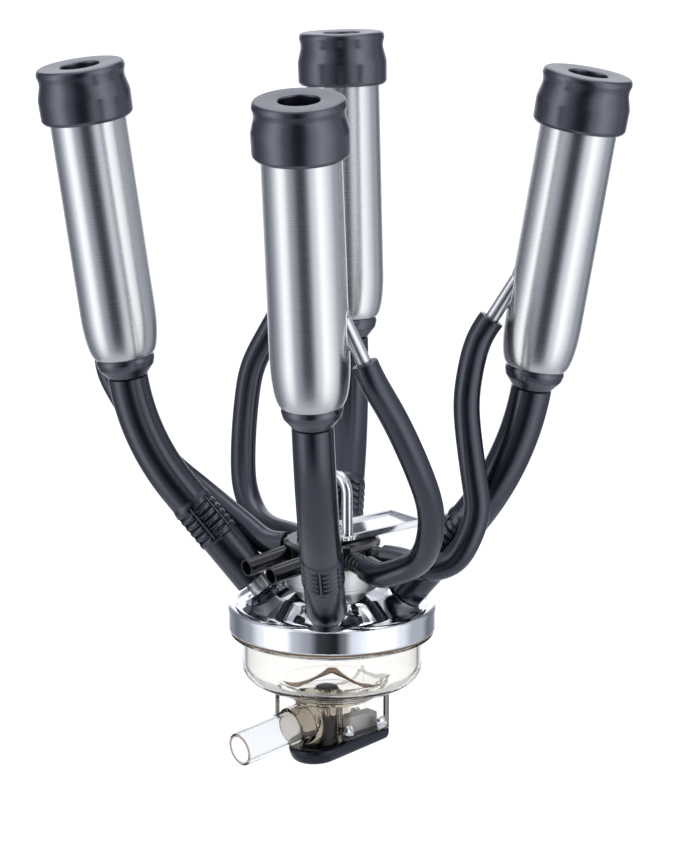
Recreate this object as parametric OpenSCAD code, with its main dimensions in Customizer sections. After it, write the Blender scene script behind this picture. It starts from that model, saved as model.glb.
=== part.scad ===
// Milking cluster: a claw with four teat cups on bent rubber milk tubes.
// Millimetres. +Z is up along the claw's axis, the milk outlet points to -X,
// and the origin is where a hook bears on the hanger loop.

/* [Claw] */
// Outside diameter of the chromed cover's rim
rim_d = 125; // [100:160]
// Height of the rim band
rim_h = 16; // [8:30]
// Outside diameter of the clear bowl
bowl_d = 108; // [90:140]
// Depth of the bowl's floor below the rim's top edge
bowl_depth = 57; // [40:80]
// Outside diameter of the pulse distributor
distributor_d = 58; // [40:80]
// Outside diameter of the milk outlet tube
outlet_d = 20; // [14:30]
// Height of the hanger loop's inner top above the rim
hang = 75; // [60:100]

/* [Cups] */
// Outside diameter of a teat cup shell
shell_d = 45; // [38:52]
// Wall of a shell
shell_t = 1; // [0.6:2]
// Length of a cup from the shell's bottom to the top of the head
cup_h = 176; // [140:200]
// Outside diameter of the liner head's skirt
head_d = 54.4; // [48:62]
// Diameter of the mouth hole
mouth_d = 23; // [18:28]

/* [Tubes] */
// Outside diameter of a milk tube
milk_d = 24; // [20:28]
// Outside diameter of a steel milk nipple
nipple_d = 14; // [10:16]
// Angle of the milk nipples above the horizontal
rise = 50; // [30:70]
// Outside diameter of a pulse tube
pulse_d = 15.5; // [12:18]
// Outside diameter of the small pulse nipples
pulse_nipple_d = 8.5; // [6:10]
// Outside diameter of the two long-pulse nipples
long_nipple_d = 10.6; // [8:14]

/* [View] */
// Piece to draw, or all

/* [Hidden] */
$fn = 64;
gap = 0.3;
shoulder = 0.6;
far = 300;

// The four places round the claw.
FRONT = 0;
RIGHT = 1;
BACK = 2;
LEFT = 3;
azimuth = [-133.4, -45.3, 45.4, 131.9];  // of each milk tube round the claw
straight = [73, 57, 74, 78];             // straight run before the tube's bend
bend_r = [145, 178, 128, 135];           // radius of that bend
turn = [33.5, 30.7, 36.2, 32.7];         // angle of that bend
twist = [3, -0.5, -3, -5];               // lean of the cup to one side
bare = [1, 1, 1, 8];                     // steel left showing below each tube
nipple_side = [81, 195, 91, -62];        // where the pulse nipple leaves each shell
port = [-102, -68, 87, 118];             // where each pulse tube leaves the distributor
port_r = [46, 35, 30, 30];               // how far out that tube's end is pushed on

// Claw
root_r = 42;
root_z = 5;
rim_r = rim_d / 2;
bowl_r = bowl_d / 2;
wall = 3;
hub_r = 28;
hub_z = 11;
dist_r = distributor_d / 2;
dist_z = 27;
dist_h = 11.5;
port_z = 31;
plate_z = dist_z + dist_h;
plate_t = 2.5;
rod_r = 3.15;
loop_half = 14.5;
loop_bend = 10;
brim = 3;
collar_r = 6.2;
tab_side = -114;
long_y = 11.5;
long_l = 56;
long_in = 32;

// Outlet and valve
valve_x = -4;
valve_r = 6.5;
seat_h = 1.7;
stem_r = 1.8;
foot_r = 5;
foot_z = -84.3;
foot_top = -73.5;
chamber_x = -9;
chamber_r = 12.4;
chamber_z = -88;
outlet_slope = 8;
outlet_from = [-20, 0, -72.4];
outlet_l = 51;
outlet_in = 12;
fin_y = 12.5;
fin_t = 2;
fin_x = 34;
screw_x = [3.5, 28.5];
screw_z = -80;
sole_z = -98;
boot_lean = 3.5;
sole_lean = 2.5;
tongue_t = 8;

// Cup
ring_h = 12;
ring_r = 17.5;
barrel_r = 13.5;
head_h = 32;
skirt_h = 18;
splay = 23;

// Routes of the pulse tubes between the shell nipple and the distributor, above the rim.
route = [
    [[-50, -118, 141], [-35, -119, 112], [-20, -114, 84], [-11, -102, 60], [-6, -86, 43], [-11, -67, 33]],
    [[50, -68, 150], [46, -68, 128], [44, -73, 106], [45, -77, 82], [45, -80, 64], [40, -77, 46],
        [34, -71, 33], [24, -59, 28]],
    [[45, 119, 135], [35, 122, 116], [28, 119, 96], [20, 112, 73], [13, 103, 52], [9, 92, 40],
        [5, 77, 32], [3, 60, 30]],
    [[-70, 130, 132], [-64, 123, 112], [-55, 112, 90], [-46, 100, 72], [-37, 87, 60], [-30, 71, 49],
        [-24, 52, 38]]];
rings_each = 15;
sides = 12;

// Placing -----------------------------------------------------------------

function about_y(a) = [[cos(a), 0, sin(a)], [0, 1, 0], [-sin(a), 0, cos(a)]];
function about_z(a) = [[cos(a), -sin(a), 0], [sin(a), cos(a), 0], [0, 0, 1]];
function root_m(i) = about_z(azimuth[i]) * about_y(90 - rise) * about_z(twist[i]);
function root_o(i) = about_z(azimuth[i]) * [root_r, 0, root_z - hang];
function cup_m(i) = root_m(i) * about_y(-turn[i]);
function cup_o(i) = root_o(i) + root_m(i)
    * [-bend_r[i] * (1 - cos(turn[i])), 0, straight[i] + bend_r[i] * sin(turn[i])];
function frame_of(m, o) = [for (r = [0:2]) [m[r][0], m[r][1], m[r][2], o[r]]];

// Above the claw's rim.
module above_rim() {
    translate([0, 0, -hang]) children();
}

// Along a milk nipple, z = 0 where a fully pushed-on tube ends.
module at_root(i) {
    multmatrix(frame_of(root_m(i), root_o(i))) children();
}

// Along a cup, z = 0 at the bottom of its liner's ring.
module at_cup(i) {
    multmatrix(frame_of(cup_m(i), cup_o(i))) children();
}

// Claw --------------------------------------------------------------------

module cover_outline() {
    polygon([[0, -rim_h], [0, hub_z], [hub_r + 2, hub_z], [rim_r - 12, -2.5], [rim_r - 6, -2.5],
        [rim_r - 4, -4], [rim_r - 4, -rim_h]]);
    translate([rim_r - 4, -4]) circle(r = 4);
    translate([rim_r - 8, -rim_h]) square([8, rim_h - 4]);
}

module neck() {
    rotate_extrude() difference() {
        translate([0, -22]) square([23, 21]);
        translate([23, -1]) circle(r = 14.5);
    }
}

module claw_cover() color("Silver") above_rim() {
    difference() {
        union() {
            rotate_extrude() cover_outline();
            for (i = [FRONT:LEFT]) translate([0, 0, hang]) at_root(i) neck();
        }
        rotate_extrude() polygon([[0, -60], [0, hub_z - 3], [hub_r, hub_z - 3], [rim_r - 13, -6],
            [rim_r - 3, -6], [rim_r - 3, -60]]);
        for (i = [FRONT:LEFT]) translate([0, 0, hang]) at_root(i) {
            translate([0, 0, -40]) cylinder(r = nipple_d / 2 - 1.2, h = 60);
            translate([0, 0, -6]) cylinder(r = nipple_d / 2, h = 20);
        }
    }
}

module cover_hub() color("DarkGray") above_rim() {
    difference() {
        translate([0, 0, hub_z]) cylinder(r = hub_r, h = dist_z - 1 - hub_z);
        cylinder(r = 4, h = 60);
    }
}

module milk_nipple(i) color("Silver") at_root(i) {
    difference() {
        translate([0, 0, -6]) cylinder(r = nipple_d / 2, h = 32);
        translate([0, 0, -7]) cylinder(r = nipple_d / 2 - 1.2, h = 40);
    }
}

module bowl_gasket() color("Black") above_rim() {
    translate([0, 0, -rim_h - 1.2]) difference() {
        cylinder(r = rim_r - 1, h = 1.2);
        translate([0, 0, -1]) cylinder(r = bowl_r + 0.5, h = 4);
    }
}

module bowl_outline(inset) {
    floor_z = -bowl_depth - wall + inset;
    difference() {
        union() {
            translate([0, -36]) square([bowl_r - inset, 29.3]);
            translate([0, -52 + inset]) square([bowl_r - 18, 30]);
            translate([bowl_r - 18, -36]) circle(r = 18 - inset);
            polygon([[0, floor_z], [25, floor_z], [32, -54 + inset], [32, -48], [0, -48]]);
        }
        translate([-far, -far]) square([far, 2 * far]);
    }
}

module bowl() color("Wheat", 0.4) above_rim() {
    difference() {
        union() {
            rotate_extrude() bowl_outline(0);
            translate([0, 0, -rim_h - 3.2]) cylinder(r = rim_r - 1.5, h = 2);
        }
        rotate_extrude() bowl_outline(wall);
        translate([0, 0, -rim_h - wall]) cylinder(r = bowl_r - wall, h = far);
        valve_hole();
    }
}

module valve_hole() {
    translate([valve_x, 0, -bowl_depth - 10]) cylinder(r = valve_r - 2, h = 20);
}

// Moulded on under the bowl: the valve's chamber, the outlet's socket and the fins.
module outlet_chamber() color("Wheat", 0.4) above_rim() {
    difference() {
        union() {
            translate([chamber_x, 0, chamber_z]) cylinder(r = chamber_r, h = 32);
            outlet_line() translate([0, 0, -10]) cylinder(r = chamber_r, h = 22);
            fins();
        }
        rotate_extrude() bowl_outline(0);
        translate([chamber_x, 0, chamber_z - 1]) cylinder(r = chamber_r - 2, h = 26);
        valve_hole();
        outlet_line() {
            cylinder(r = outlet_d / 2 - shoulder, h = 40);
            translate([0, 0, -12]) cylinder(r = outlet_d / 2 - 2, h = 40);
        }
        for (x = screw_x) translate([x, 0, screw_z]) rotate([90, 0, 0])
            cylinder(r = 2, h = 60, center = true);
    }
}

// Along the outlet, z = 0 where the clear tube bottoms in its socket.
module outlet_line() {
    translate(outlet_from) rotate([0, -90 - outlet_slope, 0]) children();
}

module fins() {
    difference() {
        union() {
            for (s = [-1, 1]) translate([0, s * (fin_y - fin_t / 2), 0]) rotate([90, 0, 0])
                linear_extrude(fin_t, center = true)
                    polygon([[-4, chamber_z + 2], [fin_x, chamber_z + 2], [fin_x, -52], [-4, -58]]);
            translate([fin_x - fin_t, -fin_y, chamber_z + 2]) cube([fin_t, 2 * fin_y, 34]);
        }
        under_boot();
    }
}

// The boot and all that rests on it rise a little away from the outlet.
module leaning() {
    translate([-29, 0, chamber_z]) rotate([0, -boot_lean, 0]) translate([29, 0, -chamber_z]) children();
}

module under_boot() {
    leaning() translate([-far / 2, -far / 2, chamber_z - far + 0.05]) cube([far, far, far]);
}

module flow_divider() color("Wheat", 0.5) above_rim() {
    rotate([0, 0, 135]) rotate([90, 0, 0]) linear_extrude(3, center = true) divider_outline();
}

module divider_outline() {
    difference() {
        polygon([[-30.8, -51.8], [-14, -41.8], [14, -41.8], [30.8, -51.8], [25, -bowl_depth],
            [21, -bowl_depth], [17, -54], [10, -49.8], [0, -45.4], [-10, -49.8], [-17, -54],
            [-21, -bowl_depth], [-25, -bowl_depth]]);
        for (s = [-1, 1]) translate([s * 29, -15]) circle(r = 38);
    }
}

module valve_seat() color("DimGray") above_rim() {
    translate([valve_x, 0, -bowl_depth]) difference() {
        cylinder(r = valve_r + 1, h = seat_h);
        translate([0, 0, -1]) cylinder(r = valve_r - 2, h = 4);
    }
}

module valve_disc() color("DimGray") above_rim() {
    translate([valve_x, 0, -bowl_depth + seat_h + gap]) difference() {
        cylinder(r = valve_r, h = 2);
        translate([0, 0, -1]) cylinder(r = stem_r, h = 2.2);
    }
}

module valve_stem() color("Silver") above_rim() {
    low = foot_top - 2.5;
    translate([valve_x, 0, low]) cylinder(r = stem_r, h = -bowl_depth + seat_h + gap + 1.2 - low);
}

module valve_foot() color("DimGray") above_rim() {
    translate([valve_x, 0, foot_z]) difference() {
        cylinder(r = foot_r, h = foot_top - foot_z);
        translate([0, 0, foot_top - foot_z - 2.5]) cylinder(r = stem_r, h = 5);
    }
}

module outlet_tube() color("White", 0.4) above_rim() {
    outlet_line() difference() {
        union() {
            cylinder(r = outlet_d / 2 - shoulder, h = outlet_in);
            translate([0, 0, outlet_in]) cylinder(r = outlet_d / 2, h = outlet_l - outlet_in);
        }
        translate([0, 0, -1]) cylinder(r = outlet_d / 2 - 2, h = outlet_l + 2);
    }
}

module clamp_tongue() color("Gray") above_rim() {
    difference() {
        translate([3.7, -tongue_t / 2, chamber_z]) cube([fin_x - fin_t - 4, tongue_t, 13]);
        under_boot();
        for (x = screw_x) translate([x, 0, screw_z]) rotate([90, 0, 0])
            cylinder(r = 2, h = 60, center = true);
    }
}

module clamp_screws() color("Silver") above_rim() {
    for (x = screw_x) translate([x, -fin_y, screw_z]) rotate([90, 0, 0]) difference() {
        union() {
            cylinder(r = 4.3, h = 1.8);
            translate([0, 0, -2 * fin_y - 3]) cylinder(r = 2, h = 2 * fin_y + 4);
        }
        translate([-0.5, -5, 0.9]) cube([1, 10, 2]);
    }
}

module clamp_nuts() color("Silver") above_rim() {
    for (x = screw_x) translate([x, fin_y, screw_z]) rotate([-90, 0, 0]) difference() {
        cylinder(r = 4, h = 2.6, $fn = 6);
        translate([0, 0, -1]) cylinder(r = 2, h = 6);
    }
}

module rear_clip() color("Silver") above_rim() {
    translate([-34, fin_y - 1, -69.5]) cube([3, 0.8, 15.4]);
    translate([-34, fin_y - 1, -69.5]) cube([3, 3, 0.8]);
}

module boot() color("Black") above_rim() {
    difference() {
        leaning() difference() {
            hull() {
                translate([-12, 0, chamber_z - 3]) cylinder(r = 17, h = 3);
                translate([-12, 0, sole_z - 1]) cylinder(r = 12, h = 3);
                translate([20, -13, chamber_z - 4]) cube([16, 26, 4]);
                translate([20, -11, sole_z - 1]) cube([14, 22, 3]);
            }
            translate([-29, -far / 2, sole_z]) rotate([0, -sole_lean, 0])
                translate([-far / 2, 0, -far]) cube([far, far, far]);
        }
        translate([chamber_x, 0, chamber_z]) cylinder(r = chamber_r + 0.1, h = 10);
    }
    translate([chamber_x, 0, chamber_z - 0.5]) cylinder(r = chamber_r - 2, h = 3.5);
}

// Pulse distributor and hanger ---------------------------------------------

module distributor_gasket() color("Black") above_rim() {
    translate([0, 0, dist_z - 1]) difference() {
        cylinder(r = dist_r - 1.5, h = 1);
        translate([0, 0, -1]) cylinder(r = 4, h = 4);
    }
}

module distributor() color("#222226") above_rim() {
    difference() {
        union() {
            translate([0, 0, dist_z]) cylinder(r = dist_r - brim, h = dist_h - 2);
            translate([0, 0, plate_z - 3.2]) cylinder(r = dist_r, h = 1.8);
            translate([0, 0, plate_z - 1.4]) cylinder(r1 = dist_r, r2 = dist_r - 3, h = 1.4);
            rotate(tab_side) translate([dist_r - 4, -3.5, plate_z - 3]) cube([4.4, 7, 4.6]);
            for (i = [FRONT:LEFT]) port_line(i) {
                cylinder(r = pulse_nipple_d / 2, h = port_r[i] + 10);
                cylinder(r = collar_r, h = port_r[i] - 0.5);
            }
            for (s = [-1, 1]) long_line(s) {
                cylinder(r = long_nipple_d / 2 - shoulder, h = long_in);
                translate([0, 0, long_in]) cylinder(r = long_nipple_d / 2, h = long_l - long_in);
            }
        }
        translate([0, 0, dist_z - 10]) cylinder(r = dist_r, h = 10);
        for (i = [FRONT:LEFT]) port_line(i) translate([0, 0, dist_r - 8])
            cylinder(r = pulse_nipple_d / 2 - 1.5, h = 60);
        for (s = [-1, 1]) long_line(s) translate([0, 0, 24]) cylinder(r = long_nipple_d / 2 - 1.3, h = 40);
        cylinder(r = 4, h = 100);
    }
}

module port_line(i) {
    translate([0, 0, port_z]) rotate([0, 90, port[i]]) children();
}

module long_line(s) {
    translate([0, s * long_y, port_z + 2.5]) rotate([0, -96.5, 0]) children();
}

module hanger_plate() color("Silver") above_rim() {
    difference() {
        translate([-15, -15, plate_z]) cube([73, 30, plate_t]);
        cylinder(r = 4, h = 100);
    }
    for (s = [-1, 1]) translate([-15, s * 14.2 - 0.8, plate_z + plate_t]) cube([73, 1.6, 2.2]);
}

module hanger_loop() color("Silver") above_rim() {
    top = hang + rod_r;
    for (s = [-1, 1]) {
        translate([0, s * loop_half, plate_z + plate_t + 2.2]) cylinder(r = rod_r,
            h = top - loop_bend - plate_z - plate_t - 2.2);
        translate([0, s * (loop_half - loop_bend), top - loop_bend]) rotate([90, 0, s > 0 ? 90 : -90])
            rotate_extrude(angle = 90) translate([loop_bend, 0]) circle(r = rod_r);
    }
    translate([0, 0, top]) rotate([90, 0, 0])
        cylinder(r = rod_r, h = 2 * (loop_half - loop_bend), center = true);
}

module centre_screw() color("Silver") above_rim() {
    translate([0, 0, hub_z + 2]) cylinder(r = 4, h = plate_z + plate_t - hub_z - 2);
    translate([0, 0, plate_z + plate_t]) cylinder(r = 7, h = 4.5, $fn = 6);
}

// Teat cups -----------------------------------------------------------------

module shell_outline(inset) {
    r = shell_d / 2 - inset;
    top = cup_h - head_h + ring_h + 14;
    translate([0, ring_h + 28]) square([r, top - ring_h - 28]);
    translate([0, ring_h + 10]) square([r - 2.6, 20]);
    polygon([[0, ring_h], [ring_r - 0.5 - inset, ring_h], [r - 2.6, ring_h + 10], [r, ring_h + 28],
        [0, ring_h + 28]]);
}

module shell(i) color("Silver") at_cup(i) {
    difference() {
        rotate_extrude() shell_outline(0);
        rotate_extrude() shell_outline(shell_t);
        translate([0, 0, cup_h]) cylinder(r = shell_d / 2 - shell_t, h = 60, center = true);
        translate([0, 0, ring_h]) cylinder(r = ring_r - 2, h = 4, center = true);
        shell_nipple_line(i) cylinder(r = pulse_nipple_d / 2, h = 60);
    }
}

// Down along a shell's pulse nipple, from inside the shell.
module shell_nipple_line(i) {
    rotate([0, 0, nipple_side[i]]) translate([19, 0, ring_h + 53]) rotate([0, 180 - splay, 0]) children();
}

module pulse_nipple(i) color("Silver") at_cup(i) {
    shell_nipple_line(i) difference() {
        cylinder(r = pulse_nipple_d / 2, h = 42);
        translate([0, 0, -1]) cylinder(r = pulse_nipple_d / 2 - 1, h = 60);
    }
}

module liner_outline() {
    top = ring_h + cup_h;
    difference() {
        union() {
            translate([0, top - head_h]) square([head_d / 2, skirt_h]);
            translate([0, top - head_h + skirt_h]) square([head_d / 2 - 2, head_h - skirt_h - 3]);
            translate([0, top - 4]) square([head_d / 2 - 4.5, 4]);
            translate([head_d / 2 - 4.5, top - 4]) circle(r = 3.5);
        }
        translate([barrel_r + 3, top - head_h - 1]) square([shell_d / 2 - barrel_r - 3, 16]);
    }
    translate([0, ring_h]) square([barrel_r, cup_h - 15]);
    translate([0, ring_h - 2]) square([ring_r - 2, 5]);
    polygon([[0, 0], [milk_d / 2 + 0.3, 0], [ring_r - 1.2, 5], [ring_r, 9], [ring_r - 0.8, ring_h],
        [0, ring_h]]);
}

module liner(i) color("#26282e") at_cup(i) {
    difference() {
        rotate_extrude() liner_outline();
        translate([0, 0, -1]) cylinder(r = nipple_d / 2, h = 60);
        translate([0, 0, ring_h + 2]) cylinder(r = mouth_d / 2, h = far);
    }
}

// Tubes ---------------------------------------------------------------------

module milk_tube(i) color("#1c1d21") at_root(i) {
    bore = nipple_d / 2;
    difference() {
        union() {
            translate([0, 0, bare[i]]) cylinder(r = milk_d / 2, h = straight[i] - bare[i]);
            for (k = [0:4]) translate([0, 0, 33 + 5 * k]) cylinder(r = milk_d / 2 + 0.5, h = 3.4);
        }
        cylinder(r = bore, h = far);
    }
    translate([-bend_r[i], 0, straight[i]]) rotate([90, 0, 0])
        rotate_extrude(angle = turn[i] - gap / bend_r[i] * 57.3) translate([bend_r[i], 0]) difference() {
            circle(r = milk_d / 2);
            circle(r = bore);
        }
}

function unit(v) = v / norm(v);
function shell_end(i, s) = cup_o(i) + cup_m(i) * about_z(nipple_side[i])
    * [19 + s * sin(splay), 0, ring_h + 53 - s * cos(splay)];
function port_end(i, r) = [r * cos(port[i]), r * sin(port[i]), port_z - hang];
function stops(i) = concat([shell_end(i, 30), shell_end(i, 43)],
    [for (p = route[i]) p - [0, 0, hang]], [port_end(i, port_r[i] + 13), port_end(i, port_r[i])]);
function smooth(p, k, t) = let(a = p[max(k - 1, 0)], b = p[k], c = p[k + 1],
        d = p[min(k + 2, len(p) - 1)])
    0.5 * ((2 * b) + (c - a) * t + (2 * a - 5 * b + 4 * c - d) * t * t + (3 * b - a - 3 * c + d) * t * t * t);
function along(p, u) = let(k = min(floor(u), len(p) - 2)) smooth(p, k, u - k);

module pulse_tube(i) color("#1c1d21") {
    stop = stops(i);
    n = rings_each - 1;
    line = [for (k = [0:n]) along(stop, k * (len(stop) - 1) / n)];
    side = [-sin(port[i]), cos(port[i]), 0];
    ring = [for (r = [pulse_d / 2, pulse_nipple_d / 2 + 0.7]) for (k = [0:n])
        let(t = unit(line[min(k + 1, n)] - line[max(k - 1, 0)]), u = unit(cross(t, side)), v = cross(t, u))
        for (j = [0:sides - 1]) line[k] + r * (cos(360 * j / sides) * u + sin(360 * j / sides) * v)];
    inner = rings_each * sides;
    polyhedron(ring, concat(
        [for (k = [0:n - 1], j = [0:sides - 1]) let(a = k * sides, b = (j + 1) % sides)
            [a + j, a + b, a + sides + b, a + sides + j]],
        [for (k = [0:n - 1], j = [0:sides - 1]) let(a = inner + k * sides, b = (j + 1) % sides)
            [a + sides + j, a + sides + b, a + b, a + j]],
        [for (j = [0:sides - 1]) let(b = (j + 1) % sides) [b, j, inner + j, inner + b]],
        [for (j = [0:sides - 1]) let(a = n * sides, b = (j + 1) % sides)
            [a + j, a + b, inner + a + b, inner + a + j]]));
}

claw_cover();
cover_hub();
bowl_gasket();
bowl();
outlet_chamber();
flow_divider();
valve_seat();
outlet_tube();
clamp_tongue();
clamp_screws();
clamp_nuts();
rear_clip();
boot();
distributor();
distributor_gasket();
hanger_plate();
hanger_loop();
centre_screw();
valve_disc();
valve_stem();
valve_foot();
milk_nipple(FRONT);  // milk_nipple_front
milk_nipple(RIGHT);  // milk_nipple_right
milk_nipple(BACK);  // milk_nipple_back
milk_nipple(LEFT);  // milk_nipple_left
milk_tube(FRONT);  // milk_tube_front
milk_tube(RIGHT);  // milk_tube_right
milk_tube(BACK);  // milk_tube_back
milk_tube(LEFT);  // milk_tube_left
pulse_tube(FRONT);  // pulse_tube_front
pulse_tube(RIGHT);  // pulse_tube_right
pulse_tube(BACK);  // pulse_tube_back
pulse_tube(LEFT);  // pulse_tube_left
shell(FRONT);  // shell_front
shell(RIGHT);  // shell_right
shell(BACK);  // shell_back
shell(LEFT);  // shell_left
pulse_nipple(FRONT);  // pulse_nipple_front
pulse_nipple(RIGHT);  // pulse_nipple_right
pulse_nipple(BACK);  // pulse_nipple_back
pulse_nipple(LEFT);  // pulse_nipple_left
liner(FRONT);  // liner_front
liner(RIGHT);  // liner_right
liner(BACK);  // liner_back
liner(LEFT);  // liner_left
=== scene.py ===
import bpy
import math
import numpy as np
from mathutils import Matrix, Vector

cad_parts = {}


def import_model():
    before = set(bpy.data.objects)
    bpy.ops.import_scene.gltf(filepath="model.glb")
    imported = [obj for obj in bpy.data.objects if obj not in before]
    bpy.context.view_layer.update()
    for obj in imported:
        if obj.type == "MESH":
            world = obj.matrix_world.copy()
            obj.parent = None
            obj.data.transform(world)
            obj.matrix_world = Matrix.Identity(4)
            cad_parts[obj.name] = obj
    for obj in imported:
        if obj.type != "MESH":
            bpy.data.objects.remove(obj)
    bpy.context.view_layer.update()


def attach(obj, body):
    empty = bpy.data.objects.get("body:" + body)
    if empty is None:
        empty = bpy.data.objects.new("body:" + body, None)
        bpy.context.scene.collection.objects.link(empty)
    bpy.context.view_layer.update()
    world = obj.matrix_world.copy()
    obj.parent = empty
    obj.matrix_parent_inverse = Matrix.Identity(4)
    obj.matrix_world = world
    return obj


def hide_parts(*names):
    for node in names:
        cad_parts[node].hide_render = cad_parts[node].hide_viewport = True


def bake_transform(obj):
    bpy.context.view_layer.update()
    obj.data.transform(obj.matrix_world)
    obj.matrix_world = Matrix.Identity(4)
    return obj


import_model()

MM = 0.001
HANG = 75          # the loop's inner top above the claw's rim; z below is counted from the rim
RIM_R = 62.5
BOWL_R = 54
HUB_R = 28
DIST_R = 29
DIST_Z = 27
PLATE_Z = 38.5
PLATE_END = 58
RISE = 50          # milk nipples above the horizontal
ROOT = (42, 0, 5)  # where a pushed-on milk tube ends, on its nipple's axis
CUP_H = 176
HEAD_H = 32
RING_H = 12
SHELL_R = 22.5
MILK_R = 12
NIPPLE_R = 7
PULSE_R = 7.75
PORT_Z = 31
SPLAY = 23         # shell nipples off the shell's side
FLOOR_Z = -57      # bowl's floor, inside
CHAMBER_X = -9
CHAMBER_R = 12.4
CHAMBER_Z = -88
FIN_Y = 12.5
FIN_X = 34
SCREW_X = (3.5, 28.5)
SCREW_SLOT = (35, 80)   # each screw slot's turn
SCREW_Z = -80
SOLE_Z = -98
SOLE_LEAN = 2.5    # the sole's own slope on top of the boot's
VALVE_X = -4
OUTLET_FROM = (-20, 0, -72.4)
OUTLET_SLOPE = 8
OUTLET_R = 10
OUTLET_BORE = 8
OUTLET_L = 51

# azimuth, straight run, bend radius, bend angle, sideways twist, bare steel below the tube,
# side the shell nipple leaves on, azimuth of the distributor port, radius where its tube ends
CUPS = {
    "front": (-133.4, 73, 145, 33.5, 3, 1, 81, -102, 46),
    "right": (-45.3, 57, 178, 30.7, -0.5, 1, 195, -68, 35),
    "back": (45.4, 74, 128, 36.2, -3, 1, 91, 87, 30),
    "left": (131.9, 78, 135, 32.7, -5, 8, -62, 118, 30),
}
# Pulse tubes between the shell nipple and the distributor, counted from the rim.
ROUTES = {
    "front": [(-50, -118, 141), (-35, -119, 112), (-20, -114, 84), (-11, -102, 60), (-6, -86, 43),
              (-11, -67, 33)],
    "right": [(50, -68, 150), (46, -68, 128), (44, -73, 106), (45, -77, 82), (45, -80, 64),
              (40, -77, 46), (34, -71, 33), (24, -59, 28)],
    "back": [(45, 119, 135), (35, 122, 116), (28, 119, 96), (20, 112, 73), (13, 103, 52), (9, 92, 40),
             (5, 77, 32), (3, 60, 30)],
    "left": [(-70, 130, 132), (-64, 123, 112), (-55, 112, 90), (-46, 100, 72), (-37, 87, 60),
             (-30, 71, 49), (-24, 52, 38)],
}


# Frames --------------------------------------------------------------------

def turn(axis, degrees):
    return Matrix.Rotation(math.radians(degrees), 4, axis)


def shift(x, y, z):
    return Matrix.Translation((x, y, z))


def root_frame(cup):
    """Along a milk nipple, in millimetres from the rim."""
    azimuth, straight, bend, angle, twist = CUPS[cup][:5]
    return turn("Z", azimuth) @ shift(*ROOT) @ turn("Y", 90 - RISE) @ turn("Z", twist)


def bend_frame(cup, angle):
    """On the milk tube's centreline where it has turned by angle."""
    straight, bend = CUPS[cup][1:3]
    return root_frame(cup) @ shift(-bend, 0, straight) @ turn("Y", -angle) @ shift(bend, 0, 0)


def cup_frame(cup):
    """Along a cup, z = 0 at the bottom of its liner's ring."""
    return bend_frame(cup, CUPS[cup][3])


def shell_nipple_frame(cup):
    return (cup_frame(cup) @ turn("Z", CUPS[cup][6]) @ shift(19, 0, RING_H + 53)
            @ turn("Y", 180 - SPLAY))


def port_frame(azimuth):
    return turn("Z", azimuth) @ shift(0, 0, PORT_Z) @ turn("Y", 90)


def outlet_frame():
    return shift(*OUTLET_FROM) @ turn("Y", -90 - OUTLET_SLOPE)


LEAN = shift(-29, 0, CHAMBER_Z) @ turn("Y", -3.5) @ shift(29, 0, -CHAMBER_Z)   # the boot's lean


# Mesh making -----------------------------------------------------------------

def rounded(corners, steps=6):
    """Outline through (x, y, radius) corners, each rounded by its own radius."""
    made = []
    count = len(corners)
    for k, (x, y, radius) in enumerate(corners):
        here = Vector((x, y))
        before = Vector(corners[k - 1][:2]) - here
        after = Vector(corners[(k + 1) % count][:2]) - here
        if radius <= 0 or before.length < 1e-6 or after.length < 1e-6:
            made.append((x, y))
            continue
        opening = before.angle(after)
        if opening > math.pi - 0.02:
            made.append((x, y))
            continue
        reach = min(radius / math.tan(opening / 2), before.length * 0.49, after.length * 0.49)
        arc_r = reach * math.tan(opening / 2)
        a = here + before.normalized() * reach
        b = here + after.normalized() * reach
        centre = here + (before.normalized() + after.normalized()).normalized() * (
            arc_r / math.sin(opening / 2))
        start, end = a - centre, b - centre
        sweep_angle = math.atan2(start.x * end.y - start.y * end.x, start.dot(end))
        for j in range(steps + 1):
            t = sweep_angle * j / steps
            made.append((centre.x + start.x * math.cos(t) - start.y * math.sin(t),
                         centre.y + start.x * math.sin(t) + start.y * math.cos(t)))
    return made


def mesh_object(name, verts, faces, matrix, smooth=True, normals=None):
    """A mesh placed by matrix, which keeps its own coordinates in the attribute "own"."""
    mesh = bpy.data.meshes.new(name)
    mesh.from_pydata([tuple(v) for v in verts], [], [tuple(f) for f in faces])
    mesh.validate()
    mesh.polygons.foreach_set("use_smooth", [smooth] * len(mesh.polygons))
    own = mesh.attributes.new("own", "FLOAT_VECTOR", "POINT")
    own.data.foreach_set("vector", [c for v in mesh.vertices for c in v.co])
    mesh.transform(matrix)
    thing = bpy.data.objects.new(name, mesh)
    bpy.context.collection.objects.link(thing)
    if normals is not None:
        mesh.normals_split_custom_set_from_vertices([tuple(n) for n in normals])
    elif smooth:
        mesh.set_sharp_from_angle(angle=math.radians(38))
    return thing


def local(frame_mm):
    """A frame in millimetres from the rim as a matrix in the row's frame, scale kept out of the mesh."""
    return shift(0, 0, -HANG * MM) @ Matrix.Translation(frame_mm.to_translation() * MM) @ (
        frame_mm.to_3x3().to_4x4())


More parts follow.
